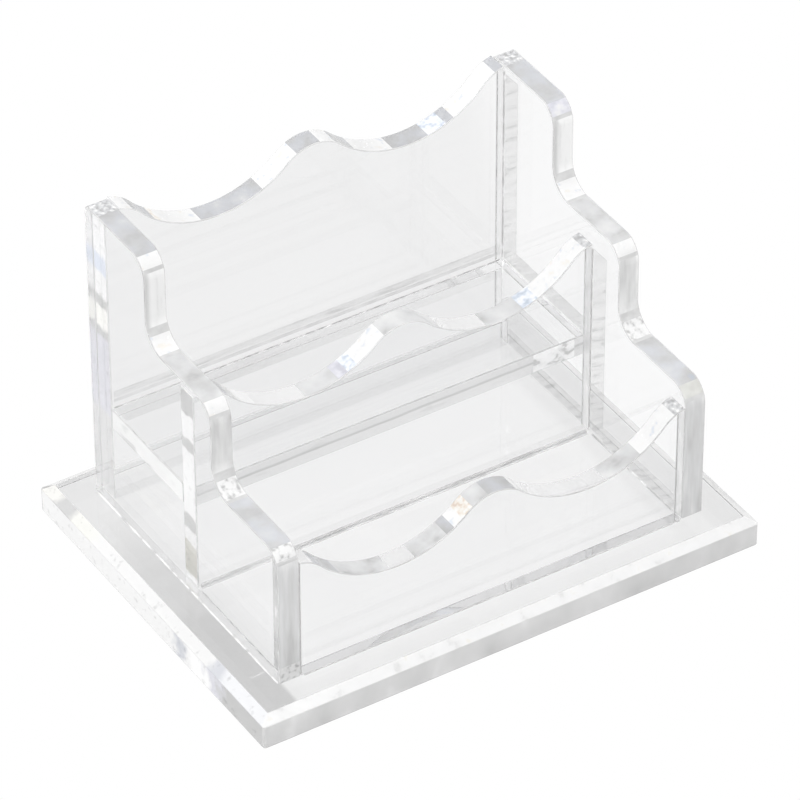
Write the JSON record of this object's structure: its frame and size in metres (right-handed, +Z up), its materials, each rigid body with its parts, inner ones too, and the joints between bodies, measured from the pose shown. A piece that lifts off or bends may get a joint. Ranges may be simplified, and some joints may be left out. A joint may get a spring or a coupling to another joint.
{
  "type": "business card holder",
  "caption": "Clear sheet desk holder for business cards: stepped sides, waved cross panels and a raised rear shelf form stacked card pockets on a bevelled base plate.",
  "frame": {"origin": "middle of the underside of the base plate, on the desk", "axes": "+X along the long side to the user's right, +Y to the back (tall) side, +Z up"},
  "size_m": [0.12, 0.09, 0.081],
  "materials": {
    "base_plate": "polished clear sheet",
    "left_side_panel": "polished clear sheet",
    "right_side_panel": "polished clear sheet",
    "back_panel": "polished clear sheet",
    "middle_panel": "polished clear sheet",
    "front_panel": "polished clear sheet",
    "upper_shelf": "polished clear sheet"
  },
  "bodies": {
    "root": {"base_plate": "base_plate", "left_side_panel": "left_side_panel", "right_side_panel": "right_side_panel", "back_panel": "back_panel", "middle_panel": "middle_panel", "front_panel": "front_panel", "upper_shelf": "upper_shelf"}
  },
  "joints": []
}
